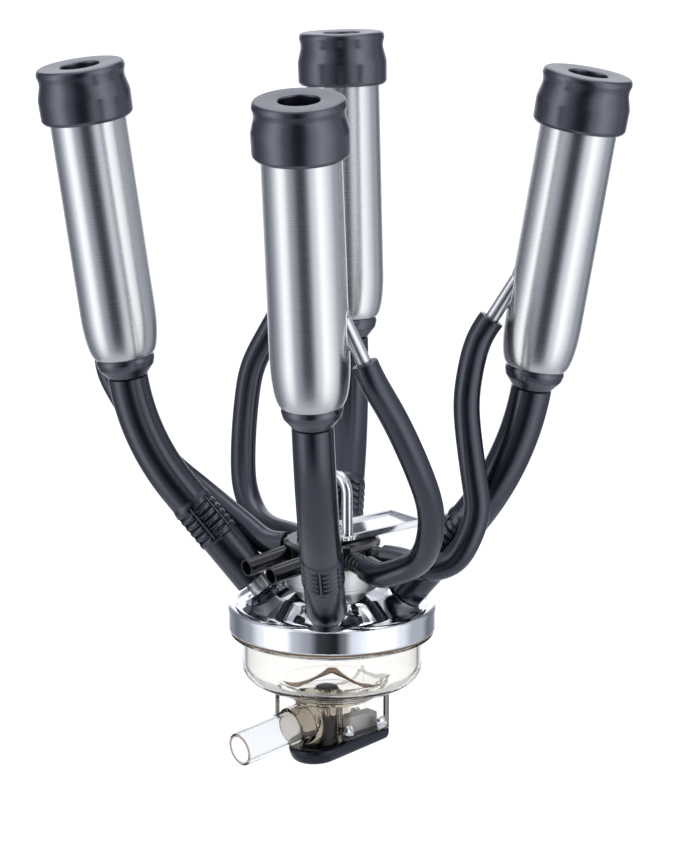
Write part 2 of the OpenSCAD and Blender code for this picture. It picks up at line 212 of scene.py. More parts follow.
def lathe(name, outline, frame_mm=Matrix.Identity(4), around=96):
    """A closed outline of (radius, z) in millimetres, turned about z."""
    verts, rows = [], []
    for r, z in outline:
        if r < 1e-6:
            rows.append([len(verts)])
            verts.append((0, 0, z * MM))
        else:
            rows.append(list(range(len(verts), len(verts) + around)))
            verts += [(r * MM * math.cos(2 * math.pi * j / around),
                       r * MM * math.sin(2 * math.pi * j / around), z * MM) for j in range(around)]
    faces = []
    for k, low in enumerate(rows):
        high = rows[(k + 1) % len(rows)]
        if len(low) == 1 and len(high) == 1:
            continue
        for j in range(around):
            n = (j + 1) % around
            if len(low) == 1:
                faces.append((low[0], high[n], high[j]))
            elif len(high) == 1:
                faces.append((low[j], low[n], high[0]))
            else:
                faces.append((low[j], low[n], high[n], high[j]))
    thing = mesh_object(name, verts, faces, local(frame_mm))
    wrap(thing.data, around)
    return thing


def wrap(mesh, around):
    """A UV map with u once round the z axis of the piece's own space and v along it."""
    own = mesh.attributes["own"].data
    layer = mesh.uv_layers.new(name="around")
    for face in mesh.polygons:
        first = None
        for k in face.loop_indices:
            at = own[mesh.loops[k].vertex_index].vector
            u = math.atan2(at.y, at.x) / (2 * math.pi) % 1
            first = u if first is None else first
            u += 1 if u - first < -0.5 else (-1 if u - first > 0.5 else 0)
            layer.data[k].uv = (u, at.z * 4)


def pipe_outline(outer, inner, low, high, edge=0.4):
    return rounded([(inner, low, edge), (outer, low, edge), (outer, high, edge), (inner, high, edge)], 4)


def extrude(name, outline, low, high, frame_mm=Matrix.Identity(4), bevel=0.3):
    """A flat (x, y) outline between two z, with its edges bevelled."""
    count = len(outline)
    verts = [(x * MM, y * MM, z * MM) for z in (low, high) for x, y in outline]
    faces = [list(range(count))[::-1], list(range(count, 2 * count))]
    faces += [(j, (j + 1) % count, count + (j + 1) % count, count + j) for j in range(count)]
    thing = mesh_object(name, verts, faces, local(frame_mm))
    if bevel:
        trim = thing.modifiers.new("bevel", "BEVEL")
        trim.width = bevel * MM
        trim.segments = 3
        trim.limit_method = "ANGLE"
        trim.angle_limit = math.radians(40)
        trim.harden_normals = False
    return thing


def smooth_line(points, per=12):
    """A Catmull-Rom curve through the points."""
    p = [Vector(q) for q in points]
    made = []
    for k in range(len(p) - 1):
        a, b, c, d = p[max(k - 1, 0)], p[k], p[k + 1], p[min(k + 2, len(p) - 1)]
        for j in range(per):
            t = j / per
            made.append(0.5 * (2 * b + (c - a) * t + (2 * a - 5 * b + 4 * c - d) * t * t
                               + (3 * b - a - 3 * c + d) * t * t * t))
    made.append(p[-1])
    return made


def relax(points, passes, keep):
    """Evens out a line's bends, its first and last keep points held."""
    line = [Vector(p) for p in points]
    for _ in range(passes):
        line = [p if k < keep or k >= len(line) - keep else (line[k - 1] + 2 * p + line[k + 1]) / 4
                for k, p in enumerate(line)]
    return line


def tube(name, line, radius, bore, around=48, shape=None, edge=0.6):
    """A hollow tube along a line in millimetres; shape(s, angle) adds to the outer radius."""
    count = len(line)
    along = [0.0]
    for a, b in zip(line, line[1:]):
        along.append(along[-1] + (b - a).length)
    tangents = [(line[min(k + 1, count - 1)] - line[max(k - 1, 0)]).normalized() for k in range(count)]
    side = tangents[0].orthogonal().normalized()
    sides = []
    for t in tangents:
        side = (side - t * side.dot(t)).normalized()
        sides.append(side.copy())
    outer, inner = [], []
    for k in range(count):
        ends = min(along[k], along[-1] - along[k])
        tuck = edge - math.sqrt(max(edge * edge - (edge - ends) ** 2, 0)) if ends < edge else 0
        across = tangents[k].cross(sides[k])
        for rows, base in ((outer, radius - tuck), (inner, bore + tuck)):
            row = []
            for j in range(around):
                a = 2 * math.pi * j / around
                r = base + (shape(along[k], a) if shape and rows is outer else 0)
                row.append((line[k] + (sides[k] * math.cos(a) + across * math.sin(a)) * r) * MM)
            rows.append(row)
    rows = outer + inner[::-1]
    verts = [v for row in rows for v in row]
    faces = []
    for k in range(len(rows)):
        low, high = k * around, ((k + 1) % len(rows)) * around
        for j in range(around):
            n = (j + 1) % around
            faces.append((low + j, low + n, high + n, high + j))
    return mesh_object(name, verts, faces, shift(0, 0, -HANG * MM))


def soft_min(a, b, k):
    h = np.clip(0.5 + 0.5 * (b - a) / k, 0, 1)
    return b * (1 - h) + a * h - k * h * (1 - h)


def soft_max(a, b, k):
    return -soft_min(-a, -b, k)


def outline_distance(points, x, y):
    """Signed distance from (x, y) to a closed outline, negative inside."""
    near = np.full(x.shape, 1e9)
    inside = np.zeros(x.shape, bool)
    for (ax, ay), (bx, by) in zip(points, points[1:] + points[:1]):
        ex, ey = bx - ax, by - ay
        wx, wy = x - ax, y - ay
        t = np.clip((wx * ex + wy * ey) / (ex * ex + ey * ey), 0, 1)
        near = np.minimum(near, np.hypot(wx - t * ex, wy - t * ey))
        crosses = (ay > y) != (by > y)
        with np.errstate(divide="ignore", invalid="ignore"):
            at = ax + ex * (y - ay) / (ey if ey else 1e-9)
        inside ^= crosses & (x < at)
    return np.where(inside, -near, near)


def in_frame(points, frame_mm):
    m = np.array(frame_mm.inverted())
    return points @ m[:3, :3].T + m[:3, 3]


def rod_distance(points, frame_mm, radius, low, high, edge=0.5):
    q = in_frame(points, frame_mm)
    across = np.hypot(q[:, 0], q[:, 1]) - radius + edge
    up = np.abs(q[:, 2] - (low + high) / 2) - (high - low) / 2 + edge
    return np.minimum(np.maximum(across, up), 0) + np.hypot(np.maximum(across, 0), np.maximum(up, 0)) - edge


def block_distance(points, low, high, edge=0.4):
    centre = (np.array(low) + high) / 2
    half = (np.array(high) - low) / 2 - edge
    q = np.abs(points - centre) - half
    return np.minimum(q.max(1), 0) + np.linalg.norm(np.maximum(q, 0), axis=1) - edge


def skin(name, field, low, high, step):
    """A mesh of the surface where field is 0, in millimetres from the rim."""
    axes = [np.arange(a, b + step, step) for a, b in zip(low, high)]
    shape = tuple(len(a) for a in axes)
    grid = np.stack(np.meshgrid(*axes, indexing="ij"), -1)
    value = np.concatenate([field(part) for part in np.array_split(grid.reshape(-1, 3), 12)])
    value = value.reshape(shape)
    cells = tuple(n - 1 for n in shape)
    total, hits = np.zeros(cells + (3,)), np.zeros(cells)
    corners = [(i, j, k) for i in (0, 1) for j in (0, 1) for k in (0, 1)]
    for a in corners:
        for axis in range(3):
            if a[axis]:
                continue
            b = tuple(1 if n == axis else v for n, v in enumerate(a))
            va = value[a[0]:a[0] + cells[0], a[1]:a[1] + cells[1], a[2]:a[2] + cells[2]]
            vb = value[b[0]:b[0] + cells[0], b[1]:b[1] + cells[1], b[2]:b[2] + cells[2]]
            cut = (va < 0) != (vb < 0)
            t = np.where(cut, va / np.where(cut, va - vb, 1), 0)
            for n in range(3):
                total[..., n] += np.where(cut, a[n] + (t if n == axis else 0), 0)
            hits += cut
    used = hits > 0
    index = np.full(cells, -1)
    index[used] = np.arange(used.sum())
    where = np.argwhere(used)
    spots = np.array(low) + (where + total[used] / hits[used][:, None]) * step
    for _ in range(4):
        slope = slope_of(field, spots)
        f = field(spots)
        spots = spots - slope * (f / np.maximum((slope ** 2).sum(1), 0.2))[:, None]
    faces = []
    for axis in range(3):
        u, v = [n for n in range(3) if n != axis]
        size = list(shape)
        size[axis] -= 1
        first = value[tuple(slice(0, size[n]) for n in range(3))]
        ahead = [0, 0, 0]
        ahead[axis] = 1
        second = value[tuple(slice(ahead[n], ahead[n] + size[n]) for n in range(3))]
        cut = (first < 0) != (second < 0)
        for n in (u, v):
            edge = [slice(None)] * 3
            edge[n] = slice(0, 1)
            cut[tuple(edge)] = False
            edge[n] = slice(shape[n] - 1, shape[n])
            cut[tuple(edge)] = False
        spot = np.argwhere(cut)
        out = first[cut] < 0
        step_u, step_v = np.eye(3, dtype=int)[u], np.eye(3, dtype=int)[v]
        quad = [index[tuple((spot - a * step_u - b * step_v).T)] for a, b in ((0, 0), (1, 0), (1, 1), (0, 1))]
        quad = np.stack(quad, 1)
        flip = out if axis != 1 else ~out
        quad[~flip] = quad[~flip][:, ::-1]
        faces.append(quad)
    normals = slope_of(field, spots)
    normals /= np.maximum(np.linalg.norm(normals, axis=1), 1e-9)[:, None]
    return mesh_object(name, spots * MM, np.concatenate(faces), shift(0, 0, -HANG * MM), normals=normals)


def slope_of(field, spots, reach=0.05):
    made = []
    for axis in np.eye(3) * reach:
        made.append((field(spots + axis) - field(spots - axis)) / (2 * reach))
    return np.stack(made, 1)


# Materials -------------------------------------------------------------------

def material(name, **sockets):
    """A Principled material with those constants on its sockets."""
    made = bpy.data.materials.new(name)
    made.use_nodes = True
    shader = made.node_tree.nodes["Principled BSDF"]
    for key, value in sockets.items():
        shader.inputs[key.replace("_", " ")].default_value = value
    return made


def node(made, kind, **values):
    n = made.node_tree.nodes.new(kind)
    for key, value in values.items():
        if key in n.inputs:
            n.inputs[key].default_value = value
        else:
            setattr(n, key, value)
    return n


def link(made, a, out, b, into):
    made.node_tree.links.new(a.outputs[out], b.inputs[into])


def grain(made, scale, stretch=(1, 1, 1), detail=4.0):
    """Noise in the piece's own space; stretch above 1 makes it finer along that axis."""
    place = node(made, "ShaderNodeAttribute", attribute_name="own")
    sized = node(made, "ShaderNodeMapping")
    sized.inputs["Scale"].default_value = stretch
    noise = node(made, "ShaderNodeTexNoise", Scale=scale, Detail=detail)
    link(made, place, "Vector", sized, "Vector")
    link(made, sized, "Vector", noise, "Vector")
    return noise


def vary(made, noise, socket, low, high):
    shader = made.node_tree.nodes["Principled BSDF"]
    span = node(made, "ShaderNodeMapRange")
    span.inputs["From Min"].default_value = 0.3
    span.inputs["From Max"].default_value = 0.7
    span.inputs["To Min"].default_value = low
    span.inputs["To Max"].default_value = high
    link(made, noise, 0, span, "Value")
    link(made, span, "Result", shader, socket)


def tint(made, noise, dark, light):
    shader = made.node_tree.nodes["Principled BSDF"]
    ramp = node(made, "ShaderNodeValToRGB")
    ramp.color_ramp.elements[0].position = 0.3
    ramp.color_ramp.elements[1].position = 0.7
    ramp.color_ramp.elements[0].color = (*dark, 1)
    ramp.color_ramp.elements[1].color = (*light, 1)
    link(made, noise, 0, ramp, "Fac")
    link(made, ramp, "Color", shader, "Base Color")


def bump(made, noise, strength, depth):
    shader = made.node_tree.nodes["Principled BSDF"]
    relief = node(made, "ShaderNodeBump", Strength=strength, Distance=depth)
    link(made, noise, 0, relief, "Height")
    link(made, relief, "Normal", shader, "Normal")


def chrome():
    m = material("polished_chrome", Base_Color=(0.86, 0.87, 0.89, 1), Metallic=1, Roughness=0.05)
    vary(m, grain(m, 60), "Roughness", 0.03, 0.08)
    return m


def brushed_shell():
    m = material("brushed_shell", Base_Color=(0.66, 0.66, 0.67, 1), Metallic=1, Roughness=0.3,
                 Anisotropic=0.55, Anisotropic_Rotation=0.25)
    lines = grain(m, 10, (1, 1, 420), 6)
    vary(m, lines, "Roughness", 0.265, 0.295)
    tint(m, lines, (0.645, 0.645, 0.652), (0.678, 0.678, 0.682))
    bump(m, lines, 0.015, 0.00005)
    lay = node(m, "ShaderNodeTangent", direction_type="UV_MAP", uv_map="around")
    link(m, lay, "Tangent", m.node_tree.nodes["Principled BSDF"], "Tangent")
    return m


def steel(name, shade, low, high):
    m = material(name, Base_Color=(shade, shade, shade * 1.01, 1), Metallic=1, Roughness=low)
    vary(m, grain(m, 120), "Roughness", low, high)
    return m


def rubber(name, dark, light, low, high, shine=0.5, tone=(1, 1, 1), ior=1.5):
    m = material(name, Roughness=low, Specular_IOR_Level=shine, Specular_Tint=(*tone, 1), IOR=ior)
    cloud = grain(m, 90, detail=6)
    tint(m, cloud, dark, light)
    vary(m, cloud, "Roughness", low, high)
    bump(m, grain(m, 2600, detail=2), 0.05, 0.0001)
    return m


def black_plastic():
    m = material("black_plastic", Base_Color=(0.006, 0.007, 0.011, 1), Roughness=0.22,
                 Specular_IOR_Level=0.6)
    vary(m, grain(m, 90), "Roughness", 0.17, 0.24)
    return m


def clear_plastic(name, surface, depth_colour, density, ior, rough, clear=1.0):
    m = material(name, Base_Color=(*surface, 1), Roughness=rough, IOR=ior)
    m.node_tree.nodes["Principled BSDF"].inputs["Transmission Weight"].default_value = clear
    vary(m, grain(m, 40), "Roughness", rough, rough * 1.5)
    inside = node(m, "ShaderNodeVolumeAbsorption", Density=density)
    inside.inputs["Color"].default_value = (*depth_colour, 1)
    link(m, inside, "Volume", m.node_tree.nodes["Material Output"], "Volume")
    return m


def bowl_plastic():
    """Clear, with painted shade greying the outlet chamber's lower part for the dark seen through it, and
    brown at the end plate's near edge.
    """
    plain = (0.98, 0.97, 0.95)
    m = clear_plastic("amber_clear", plain, (0.83, 0.79, 0.68), 48, 1.24, 0.03)
    split = own_axes(m)
    colour = None
    # first zone: painted shade, a grey standing in for the dark seen through the chamber's wall; second zone:
    # the brown of the end plate's near edge
    shade_and_edge_zones = [([("X", 6, 3), ("Z", -57, -62)], (0.61, 0.565, 0.5, 1)),
             ([("X", FIN_X - 4, FIN_X - 2.5), ("Y", 1.5 - FIN_Y, -FIN_Y), ("Z", -57, -62)],
              (0.36, 0.26, 0.2, 1))]
    for limits, tone in shade_and_edge_zones:
        inside = None
        for socket, start, end in limits:
            one = ease(m, split, socket, start, end)
            both = node(m, "ShaderNodeMath", operation="MULTIPLY")
            both.inputs[0].default_value = 1
            if inside:
                link(m, inside, "Value", both, 0)
            link(m, one, "Result", both, 1)
            inside = both
        mix = node(m, "ShaderNodeMixRGB")
        mix.inputs["Color1"].default_value = (*plain, 1)
        mix.inputs["Color2"].default_value = tone
        link(m, inside, "Value", mix, "Fac")
        if colour:
            link(m, colour, "Color", mix, "Color1")
        colour = mix
    link(m, colour, "Color", m.node_tree.nodes["Principled BSDF"], "Base Color")
    return m


def own_axes(m):
    """The piece's own coordinates as separate X, Y and Z."""
    place = node(m, "ShaderNodeAttribute", attribute_name="own")
    split = node(m, "ShaderNodeSeparateXYZ")
    link(m, place, "Vector", split, "Vector")
    return split


def ease(m, split, socket, start, end):
    """0 to 1 from start to end, in millimetres along one axis of the piece's own space."""
    span = node(m, "ShaderNodeMapRange")
    span.inputs["From Min"].default_value = start * MM
    span.inputs["From Max"].default_value = end * MM
    link(m, split, socket, span, "Value")
    return span


def outlet_plastic():
    """Clear and a little milky, with a brown look into the wall at its cut end."""
    plain = (0.98, 0.98, 0.98)
    m = clear_plastic("clear_plastic", plain, (0.8, 0.68, 0.5), 6, 1.06, 0.08, 0.92)
    end = ease(m, own_axes(m), "Z", OUTLET_L - 0.7, OUTLET_L - 0.2)
    mix = node(m, "ShaderNodeMixRGB")
    mix.inputs["Color1"].default_value = (*plain, 1)
    mix.inputs["Color2"].default_value = (0.2, 0.13, 0.1, 1)
    link(m, end, "Result", mix, "Fac")
    link(m, mix, "Color", m.node_tree.nodes["Principled BSDF"], "Base Color")
    return m


CHROME = chrome()
SHELL = brushed_shell()
SATIN = steel("satin_steel", 0.55, 0.32, 0.42)
STAMPED = steel("stamped_steel", 0.9, 0.12, 0.2)
ROD = steel("rod_steel", 0.78, 0.1, 0.2)
FASTENER = steel("fastener_steel", 0.72, 0.06, 0.14)
TUBE_STEEL = steel("tube_steel", 0.68, 0.24, 0.32)
BLUISH = (0.8, 0.85, 1)
VIOLET = (0.83, 0.84, 1)
HOSE = (0.003, 0.004, 0.008)
LINER = rubber("liner_rubber", (0.001, 0.0015, 0.004), (0.002, 0.003, 0.007), 0.26, 0.29, 1.0, VIOLET, 1.72)
MILK = rubber("milk_tube_rubber", HOSE, (0.005, 0.006, 0.011), 0.22, 0.26, 1.0, BLUISH, 1.53)
PULSE = rubber("pulse_tube_rubber", HOSE, (0.005, 0.006, 0.012), 0.25, 0.29, 1.0, BLUISH, 1.52)
BOOT = rubber("boot_rubber", HOSE, (0.006, 0.007, 0.013), 0.2, 0.28, 0.45, BLUISH)
TONGUE = rubber("grey_rubber", (0.7, 0.7, 0.7), (0.78, 0.78, 0.78), 0.45, 0.6)
GASKET = rubber("gasket_rubber", (0.2, 0.13, 0.07), (0.26, 0.17, 0.09), 0.4, 0.5)
VALVE = rubber("valve_rubber", (0.1, 0.1, 0.105), (0.14, 0.14, 0.145), 0.45, 0.55)
PLASTIC = black_plastic()
AMBER = bowl_plastic()
RIB = clear_plastic("amber_rib", (0.5, 0.42, 0.36), (0.8, 0.73, 0.62), 60, 1.15, 0.1, 0.8)
CLEAR = outlet_plastic()


def wear(thing, made, body, slot, *nodes):
    """Gives a piece its material and its body and hides the CAD nodes it stands for; slot is not used."""
    thing.data.materials.clear()
    thing.data.materials.append(made)
    if nodes:
        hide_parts(*nodes)
    if body:
        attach(thing, body)
    return thing


# Camera, floor and light ----------------------------------------------------------

AIM_AZIMUTH = -39.03
AIM_ELEVATION = 13.854
AIM_DISTANCE = 2.2245
LENS = 159.83
SIDE, LIFT = 0.0039, 0.1086   # the view's centre beside and above the rim's centre


def camera():
    a, e = math.radians(AIM_AZIMUTH), math.radians(AIM_ELEVATION)
    back = Vector((math.sin(a) * math.cos(e), -math.cos(a) * math.cos(e), math.sin(e)))
    right = Vector((math.cos(a), math.sin(a), 0))
    data = bpy.data.cameras.new("camera")
    data.lens = LENS
    data.sensor_width = 36
    data.sensor_fit = "AUTO"
    data.clip_end = 100
    thing = bpy.data.objects.new("camera", data)
    bpy.context.collection.objects.link(thing)
    thing.rotation_mode = "QUATERNION"
    thing.location = Vector((0, 0, LIFT - HANG * MM)) + right * SIDE + back * AIM_DISTANCE
    thing.rotation_quaternion = (-back).to_track_quat("-Z", "Y")
    bpy.context.scene.camera = thing
    return back, right


BACK, RIGHT = camera()
AHEAD = Vector((BACK.x, BACK.y, 0)).normalized()   # level, from the object to the camera
HEART = Vector((0, 0, 0.05))


def floor():
    """A plain pale disc well below the hanging cluster."""
    count = 96
    centre = HEART + Vector((0, 0, -0.55))
    verts = [centre + Vector((0.68 * math.cos(a), 0.68 * math.sin(a), 0))
             for a in np.linspace(0, 2 * math.pi, count, endpoint=False)]
    thing = mesh_object("floor", verts, [range(count)], Matrix.Identity(4))
    thing.data.materials.append(material("floor_white", Base_Color=(0.8, 0.8, 0.8, 1), Roughness=0.8))


def softbox(name, angle, up, away, wide, tall, radiance, aim_up=0):
    """An area light round the object, angle counted from the camera towards its right."""
    a = math.radians(angle)
    out = AHEAD * math.cos(a) + RIGHT * math.sin(a)
    place = HEART + out * away + Vector((0, 0, up))
    data = bpy.data.lights.new(name, "AREA")
    data.shape = "RECTANGLE"
    data.size, data.size_y = wide, tall
    data.energy = radiance * math.pi * wide * tall
    thing = bpy.data.objects.new(name, data)
    bpy.context.collection.objects.link(thing)
    thing.location = place
    thing.rotation_mode = "QUATERNION"
    thing.rotation_quaternion = (HEART + Vector((0, 0, aim_up)) - place).to_track_quat("-Z", "Y")


# The room's brightness by direction, in degrees round from the camera towards its right.
STUDIO = [(-180, 1.2), (-163, 1.2), (-150, 0.35), (-128, 0.2), (-104, 0.4), (-84, 1.0), (-70, 1.7),
          (-56, 1.5), (-42, 0.6), (-28, 0.4), (-14, 0.05), (4, 0.02), (13, 0.2), (24, 0.9), (36, 1.1),
          (50, 1.8), (64, 1.4), (84, 0.95), (100, 0.5), (116, 0.5), (132, 0.2), (150, 0.3), (163, 1.2),
          (180, 1.2)]
BRIGHTEST = 1.8
CEILING, GROUND = 0.8, 0.3


def cool(value):
    """A grey that leans to blue where it is dim."""
    dim = 1 - min(value, 1)
    return (value * (1 - 0.14 * dim), value * (1 - 0.06 * dim), value * (1 + 0.12 * dim), 1)


def world():
    """A studio seen as bands of brightness: dark by the camera, bright to both sides, white behind."""
    made = bpy.data.worlds.new("studio")
    made.use_nodes = True
    place = node(made, "ShaderNodeTexCoord")
    look = node(made, "ShaderNodeVectorMath", operation="NORMALIZE")
    link(made, place, "Generated", look, 0)
    parts = []
    for towards in (RIGHT, AHEAD):
        part = node(made, "ShaderNodeVectorMath", operation="DOT_PRODUCT")
        part.inputs[1].default_value = towards
        link(made, look, "Vector", part, 0)
        parts.append(part)
    angle = node(made, "ShaderNodeMath", operation="ARCTAN2")
    link(made, parts[0], "Value", angle, 0)
    link(made, parts[1], "Value", angle, 1)
    share = node(made, "ShaderNodeMapRange")
    share.inputs["From Min"].default_value = -math.pi
    share.inputs["From Max"].default_value = math.pi
    link(made, angle, "Value", share, "Value")
    ramp = node(made, "ShaderNodeValToRGB")
    ramp.color_ramp.interpolation = "EASE"
    stops = ramp.color_ramp.elements
    while len(stops) < len(STUDIO):
        stops.new(0.5)
    for stop, (degrees, value) in zip(stops, STUDIO):
        stop.position = degrees / 360 + 0.5
        stop.color = cool(value / BRIGHTEST)
    link(made, share, "Result", ramp, "Fac")
    split = node(made, "ShaderNodeSeparateXYZ")
    link(made, look, "Vector", split, 0)
    colour, out = ramp, "Color"
    for start, end, value in ((0.5, 0.85, CEILING), (-0.5, -0.85, GROUND)):
        fade = node(made, "ShaderNodeMapRange", interpolation_type="SMOOTHSTEP")
        fade.inputs["From Min"].default_value = start
        fade.inputs["From Max"].default_value = end
        link(made, split, "Z", fade, "Value")
        mix = node(made, "ShaderNodeMixRGB")
        mix.inputs["Color2"].default_value = cool(value / BRIGHTEST)
        link(made, fade, "Result", mix, "Fac")
        link(made, colour, out, mix, "Color1")
        colour, out = mix, "Color"
    paint = made.node_tree.nodes["Background"]
    paint.inputs["Strength"].default_value = BRIGHTEST
    link(made, colour, out, paint, "Color")
    bpy.context.scene.world = made


floor()
softbox("top_box", 170, 1.5, 0.5, 1.2, 0.9, 1.6)
world()
bpy.context.scene.view_settings.view_transform = "Standard"


# Tubes ------------------------------------------------------------------------------

def pulse_line(cup):
    nipple = shell_nipple_frame(cup)
    port = port_frame(CUPS[cup][7])
    first = [nipple @ Vector((0, 0, s)) for s in (30, 43)]
    end = CUPS[cup][8]
    last = [port @ Vector((0, 0, s)) for s in (end + 13, end)]
    return smooth_line(first + [Vector(p) for p in ROUTES[cup]] + last, 14)


def row_point(p):
    return Vector(p) * MM - Vector((0, 0, HANG * MM))


def pulse_tube(cup):
    line = relax(pulse_line(cup), 30, 6)
    thing = tube("pulse_tube_" + cup, line, PULSE_R, 4.35)
    wear(thing, PULSE, None, "pulse_tube_rubber", "pulse_tube_" + cup)
    spots = [row_point(p) for p in line]
    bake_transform(thing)


def milk_line(cup):
    straight, bend, angle = CUPS[cup][1:4]
    bare = CUPS[cup][5]
    line = [root_frame(cup) @ Vector((0, 0, s)) for s in edge_steps(bare, straight)]
    count = 70
    line += [bend_frame(cup, angle * k / count) @ Vector((0, 0, 0)) for k in range(1, count)]
    line.append(bend_frame(cup, angle) @ Vector((0, 0, -0.3)))
    return line


def edge_steps(low, high):
    """Finely spaced at the tube's open end, then every half millimetre."""
    first = [low, low + 0.08, low + 0.2, low + 0.4, low + 0.7, low + 1.0]
    return first + list(np.arange(low + 1.5, high, 0.5))


GRIP = (32, 62)      # along the tube from its open end
GROOVES = 5


def grip(s, angle):
    """The ribbed grip: a raised band with five short grooves between lengthwise bars."""
    low, high = GRIP
    fade = min((s - low) / 1.5, (high - s) / 3.5, 1)
    if fade <= 0:
        return 0
    lift = 0.7 * (fade * fade * (3 - 2 * fade))
    bars = abs(((math.degrees(angle) / 60) % 1) - 0.5)        # 0.5 on a bar, 0 between two
    bar_groove = math.exp(-((bars - 0.42) / 0.03) ** 2)
    pitch = (high - low - 8) / GROOVES
    place = ((s - low - 3) / pitch) % 1
    ring = math.exp(-((place - 0.5) * pitch / 0.7) ** 2) if low + 3 < s < high - 5 else 0
    ring *= 1 if bars < 0.42 else 0
    inside = 1 if low + 2.5 < s < high - 4.5 else 0
    return lift - 1.5 * max(ring, 0.8 * bar_groove * inside)


def milk_tube(cup):
    line = milk_line(cup)
    thing = tube("milk_tube_" + cup, line, MILK_R, NIPPLE_R, 144, grip, 1.0)
    wear(thing, MILK, None, "milk_tube_rubber", "milk_tube_" + cup)
    end = row_point(line[-1])
    start = row_point(root_frame(cup) @ Vector((0, 0, 28)))
    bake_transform(thing)


for name in CUPS:
    pulse_tube(name)
    milk_tube(name)


# Teat cups ------------------------------------------------------------------------------

def shell_outline():
    bottom, top = RING_H, RING_H + CUP_H - 17.3
    r = SHELL_R
    curve = [(r - 5.6 * (1 - math.sin(t)), bottom + 28 * (1 - math.cos(t)))
             for t in np.linspace(0.12, math.pi / 2, 22)]
    outer = [(16.9, bottom)] + curve + [(r, top)]
    inner = [(r - 1, top)] + [(x - 1, z) for x, z in curve[::-1]] + [(15.9, bottom)]
    return outer + inner


def liner_outline():
    top = RING_H + CUP_H
    low = top - HEAD_H
    head = [(11.5, top - 0.4, 1.2), (25.6, top + 0.1, 2.2), (26.3, top - 3.4, 1.6), (25, top - 8.4, 10),
            (27.3, top - 17.6, 10), (27.1, low + 1.8, 2.4), (25.6, low, 0.6), (22.7, low, 0.4),
            (SHELL_R, top - 17, 0.3), (16, top - 17, 0.3), (16, low - 1, 0), (13.5, low - 2, 0),
            (13.5, RING_H + 4, 0), (15.6, RING_H + 3, 0.3), (15.6, RING_H, 0.2),
            (16.8, RING_H, 0.6), (17.6, RING_H - 2.6, 2.4), (16.6, RING_H - 6.5, 4), (12.6, 0.6, 1.5),
            (12.2, 0, 0.2), (7, 0, 0), (7, RING_H + 2, 0), (11.5, RING_H + 4, 0)]
    return rounded(head, 7)


def cup(name):
    body = "cup_" + name
    at = cup_frame(name)
    wear(lathe("shell_" + name, shell_outline(), at, 128), SHELL, body, "brushed_shell", "shell_" + name)
    wear(lathe("liner_" + name, liner_outline(), at, 128), LINER, body, "liner_rubber", "liner_" + name)
    nipple = shell_nipple_frame(name)
    wear(lathe("pulse_nipple_" + name, pipe_outline(4.25, 3.25, 2, 42, 0.3), nipple, 48), TUBE_STEEL,
         body, "tube_steel", "pulse_nipple_" + name)
    weld(name, nipple, body)


def weld(name, nipple, body):
    """The fillet where the nipple's tube runs into the shell's side."""
    at = cup_frame(name) @ turn("Z", CUPS[name][6])
    verts, faces = [], []
    around, across = 64, 7
    for j in range(around):
        a = 2 * math.pi * j / around
        side = math.sin(a)
        y = 4.3 * side
        wall_x = math.sqrt(SHELL_R ** 2 - y * y)
        lean = 4.3 / math.sin(math.radians(SPLAY))
        z = RING_H + 53 - (wall_x - 19) / math.tan(math.radians(SPLAY)) + lean * math.cos(a)
        for k in range(across):
            t = k / (across - 1) * math.pi
            out = 0.75 * math.cos(t)
            verts.append(((wall_x + 0.65 * math.sin(t) - 0.1) * MM, (y + out * side) * MM,
                          (z + 2.0 * out * math.cos(a)) * MM))
    for j in range(around):
        for k in range(across - 1):
            n = (j + 1) % around
            faces.append((j * across + k, j * across + k + 1, n * across + k + 1, n * across + k))
    thing = mesh_object("weld_" + name, verts, faces, local(at))
    wear(thing, TUBE_STEEL, body, "tube_steel")


for name in CUPS:
    cup(name)


# Claw cover, hub and nipples ---------------------------------------------------------------

COVER_TOP = rounded(
    [(0, 11, 0), (HUB_R + 1, 11, 2), (38, 7.4, 8), (50, -1.6, 6), (55.2, -2.8, 2.5), (58.4, 0, 2.6),
     (RIM_R, -1.4, 3.8), (RIM_R, -16, 1.2), (RIM_R - 3.2, -16, 0.6), (RIM_R - 3.4, -6.4, 2),
     (50, -6, 3), (HUB_R, 8, 3), (0, 8, 0)], 6)


def cover_field(p):
    r = np.hypot(p[:, 0], p[:, 1])
    solid = outline_distance(COVER_TOP, r, p[:, 2])
    hollow = outline_distance([(-1, -40), (RIM_R - 3.4, -40), (RIM_R - 3.4, -6.4), (50, -6), (HUB_R, 8),
                               (-1, 8)], r, p[:, 2])
    for name in CUPS:
        q = in_frame(p, root_frame(name))
        across = np.hypot(q[:, 0], q[:, 1])
        flare = 8.6 + 0.021 * np.clip(-1.2 - q[:, 2], 0, 30) ** 2.1
        neck = soft_max((across - flare) * 0.75, q[:, 2] + 1.2, 1.2)
        neck = np.maximum(neck, -26 - q[:, 2])
        solid = soft_min(solid, neck, 7)
    solid = soft_max(solid, -hollow, 0.8)
    for name in CUPS:
        solid = np.maximum(solid, -rod_distance(p, root_frame(name), NIPPLE_R + 0.05, -40, 10, 0.1))
    return solid


def claw():
    thing = skin("claw_cover", cover_field, (-66, -66, -19), (66, 66, 17), 1.0)
    wear(thing, CHROME, "claw", "chromed_cover", "claw_cover")
    hub = rounded([(0, 11, 0), (HUB_R - 0.9, 11, 0), (HUB_R - 0.9, 12.1, 0), (HUB_R, 12.6, 0.3),
                   (HUB_R, 26, 0.6), (0, 26, 0)], 4)
    wear(lathe("cover_hub", hub), SATIN, "claw", "satin_steel", "cover_hub")
    for name in CUPS:
        pipe = pipe_outline(NIPPLE_R - 0.05, NIPPLE_R - 1.2, -6, 26, 0.5)
        wear(lathe("milk_nipple_" + name, pipe, root_frame(name), 64), TUBE_STEEL, "claw", "tube_steel",
             "milk_nipple_" + name)


claw()


# Bowl and what is in and under it ------------------------------------------------------------

